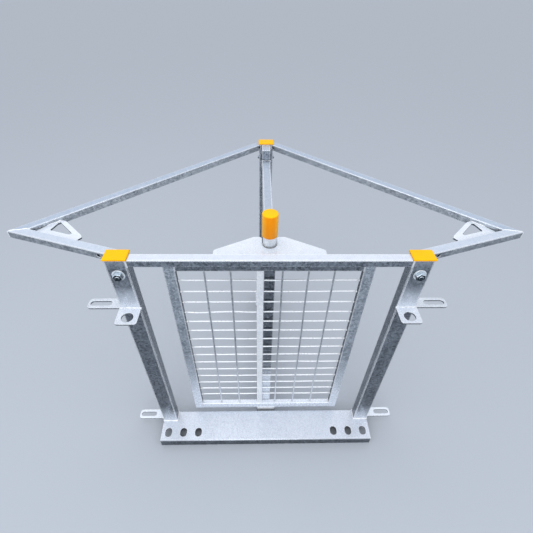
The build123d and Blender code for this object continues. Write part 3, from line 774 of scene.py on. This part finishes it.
# Welds of the apex post and the fixed half of the hinge
PIN_WELD_POINTS = 24
apex_welds = bmesh.new()
weld_end(apex_welds, "apex_post", Z, -1, APEX_FOOT_BEAD)
weld_end(apex_welds, "hinge_head", Y, 1, TUBE_BEAD)
pin, pin_half = centre_and_half("lower_hinge_pin")
weld_circle(apex_welds, pin - UP * pin_half.z, pin_half.x, PIN_WELD_POINTS, TUBE_BEAD)
piece("apex_welds", apex_welds, "frame", "galvanised_steel", weld_zinc)

# Welds of the gate
gate_welds = bmesh.new()
for level in ("top", "bottom"):
    for end in (-1, 1):
        weld_end(gate_welds, f"panel_{level}_rail", X, end, PANEL_BEAD)
    for end in (-1, 1):
        weld_end(gate_welds, f"gate_{level}_bar", Y, end, TUBE_BEAD)
weld_end(gate_welds, "gate_skid", Z, 1, TUBE_BEAD)
for end in (-1, 1):
    weld_end(gate_welds, "panel_centre_bar", Z, end, PANEL_BEAD)
piece("gate_welds", gate_welds, "gate", "galvanised_steel", weld_zinc)

# Welds of the handle and of the bracing plate under it
HANDLE_WELD_POINTS = 32
HANDLE_WELD_GAP = 1.0 * MM
HANDLE_WELD_DROP = 5 * MM
BRACE_SEAM_DROP = 3 * MM
BRACE_SEAM_FROM = 20 * MM
BRACE_SEAM_TO = 150 * MM
handle_weld = bmesh.new()
tube, tube_half = centre_and_half("handle_tube")
brace_lo, brace_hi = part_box("brace_plate")
collar = Vector((tube.x, tube.y, brace_hi.z - HANDLE_WELD_DROP))
weld_circle(handle_weld, collar, tube_half.x + HANDLE_WELD_GAP, HANDLE_WELD_POINTS, PANEL_BEAD)
for _, s in SIDES:
    seam = [Vector((s * x, brace_lo.y, brace_hi.z - BRACE_SEAM_DROP))
            for x in (BRACE_SEAM_FROM, BRACE_SEAM_TO)]
    weld_path(handle_weld, seam, BRACE_BEAD)
piece("handle_weld", handle_weld, "gate", "galvanised_steel", weld_zinc)

# Grip: a moulded sleeve with an eased lip and a rounded crown
GRIP_WALL = 1.8 * MM
GRIP_BORE_DEPTH = 4 * MM
LIP_EASE = 0.5 * MM
LIP_RISE = 0.6 * MM
CROWN_HEIGHT = 5 * MM
CROWN_TURN_IN = 4.5 * MM
CROWN_TURN_UP = 4.2 * MM
CROWN_SAG = 0.2 * MM
CROWN_STEPS = 5
CROWN_SHARES = (0.5, 0.12)
GRIP_SIDES = 64
grip_at, grip_half = centre_and_half("handle_grip")
grip_radius = grip_half.x
grip_height = 2 * grip_half.z
shoulder = grip_height - CROWN_HEIGHT
grip_bore = grip_radius - GRIP_WALL
profile = [(grip_bore, GRIP_BORE_DEPTH), (grip_bore, 0.0), (grip_radius - LIP_EASE, 0.0),
           (grip_radius, LIP_RISE), (grip_radius, shoulder)]
for k in range(1, CROWN_STEPS + 1):
    turn = math.pi / 2 * k / CROWN_STEPS
    profile.append((grip_radius - CROWN_TURN_IN * (1 - math.cos(turn)),
                    shoulder + CROWN_TURN_UP * math.sin(turn)))
profile.append((grip_radius * CROWN_SHARES[0], grip_height - CROWN_SAG))
profile.append((grip_radius * CROWN_SHARES[1], grip_height))
grip = bmesh.new()
lathe(grip, profile, grip_at - UP * grip_half.z, UP, GRIP_SIDES)
for face in grip.faces:
    face.smooth = True
piece("grip_sleeve", grip, "gate", "grip_plastic", grip_yellow, "handle_grip")

# Studio: a pale matt floor
FLOOR_HALF = 40.0
floor_mesh = bpy.data.meshes.new("studio_floor")
floor_corners = [(x * FLOOR_HALF, y * FLOOR_HALF, 0) for x, y in SQUARE]
floor_mesh.from_pydata(floor_corners, [], [(0, 1, 2, 3)])
floor = bpy.data.objects.new("studio_floor", floor_mesh)
scene.collection.objects.link(floor)
floor_paint = bpy.data.materials.new("matt_floor_paint")
floor_paint.use_nodes = True
paint = floor_paint.node_tree.nodes["Principled BSDF"]
paint.inputs["Base Color"].default_value = linear("#aeb5be")
paint.inputs["Roughness"].default_value = 0.9
floor_mesh.materials.append(floor_paint)

# Studio: a soft dome of light, brightest overhead
world = bpy.data.worlds.new("studio")
scene.world = world
world.use_nodes = True
air = world.node_tree.nodes["Background"]
air.inputs["Color"].default_value = linear("#f1f3f8")
outward = add(world.node_tree, "ShaderNodeTexCoord").outputs["Generated"]
dome = add(world.node_tree, "ShaderNodeSeparateXYZ", [(0, outward)])
rise = add(world.node_tree, "ShaderNodeMapRange", [("Value", dome.outputs["Z"]), ("From Min", 0.0),
                                                   ("From Max", 0.9), ("To Min", 0.6), ("To Max", 1.3)])
world.node_tree.links.new(rise.outputs[0], air.inputs["Strength"])


def softbox(name, place, target, width, depth, watts):
    """A wide soft lamp, in metres, aimed at its target."""
    lamp = bpy.data.lights.new(name, "AREA")
    lamp.shape = "RECTANGLE"
    lamp.size = width
    lamp.size_y = depth
    lamp.energy = watts
    made = bpy.data.objects.new(name, lamp)
    made.location = place
    made.rotation_mode = "QUATERNION"
    made.rotation_quaternion = (Vector(target) - Vector(place)).to_track_quat("-Z", "Y")
    scene.collection.objects.link(made)


softbox("overhead_softbox", place=(-0.5, -0.4, 3.6), target=(0, 0, 0), width=2.6, depth=2.2, watts=22)
softbox("front_softbox", place=(-0.3, -4.2, 2.4), target=(0, 0, 0.6), width=3.6, depth=2.2, watts=60)

# Camera at the photograph's place, 1.63 m above the ground
EYE = (-0.0368, -1.1001, 1.6275)
LOOK_DOWN = math.radians(41.55)
LOOK_RIGHT = math.radians(1.89)
ROLL = math.radians(1.24)
PHOTO_WIDTH_PX = 533.0
FOCAL_PX = 353.46
SENSOR_MM = 36.0
SHIFT_UP = -0.00465
view = bpy.data.cameras.new("view")
view.sensor_width = SENSOR_MM
view.lens = SENSOR_MM * FOCAL_PX / PHOTO_WIDTH_PX
view.shift_y = SHIFT_UP
eye = bpy.data.objects.new("view", view)
scene.collection.objects.link(eye)
ahead = Vector((math.sin(LOOK_RIGHT) * math.cos(LOOK_DOWN), math.cos(LOOK_RIGHT) * math.cos(LOOK_DOWN),
                -math.sin(LOOK_DOWN)))
level_right = Vector((math.cos(LOOK_RIGHT), -math.sin(LOOK_RIGHT), 0))
level_up = level_right.cross(ahead)
right = level_right * math.cos(ROLL) + level_up * math.sin(ROLL)
upward = level_up * math.cos(ROLL) - level_right * math.sin(ROLL)
turn = Matrix((right, upward, -ahead)).transposed().to_4x4()
eye.matrix_world = Matrix.Translation(EYE) @ turn
scene.camera = eye
scene.view_settings.view_transform = "Standard"
